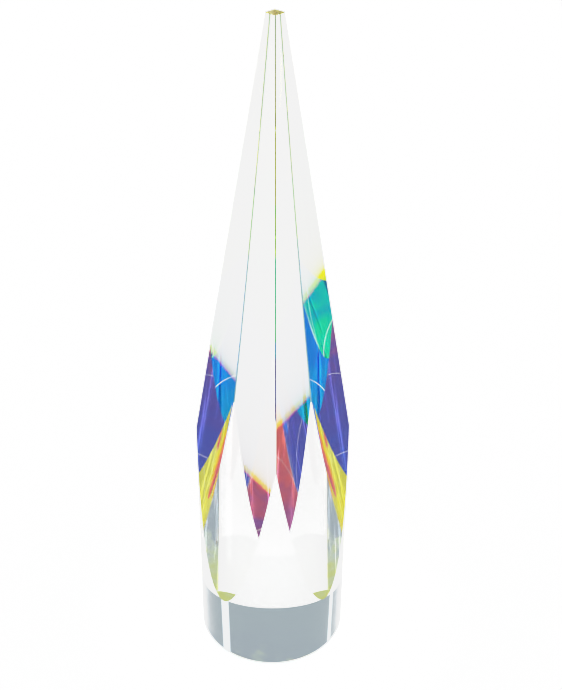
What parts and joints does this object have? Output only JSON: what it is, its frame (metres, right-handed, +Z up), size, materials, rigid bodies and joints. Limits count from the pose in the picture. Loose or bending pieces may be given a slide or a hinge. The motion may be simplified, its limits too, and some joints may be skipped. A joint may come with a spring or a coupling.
{
  "type": "crystal award",
  "caption": "Tall solid crystal award: a round column cut by flat facets into a square spire, with an iridescent coating and a clear pad under its flat base.",
  "frame": {"origin": "centre of the flat face that the award stands on", "axes": "+Z up along the spire's axis; the four long edges of the spire point along -Y, +X, +Y and -X, with one edge to the front (-Y)"},
  "size_m": [0.06, 0.06, 0.2639],
  "materials": {
    "crystal": "optically clear crystal, polished",
    "coating": "iridescent thin film, colour shifts with angle",
    "adhesive": "clear acrylic adhesive",
    "pad": "translucent clear film, satin"
  },
  "bodies": {
    "root": {"crystal_spire": "crystal", "iridescent_coating": "coating", "pad_adhesive": "adhesive", "base_pad": "pad"}
  },
  "joints": []
}
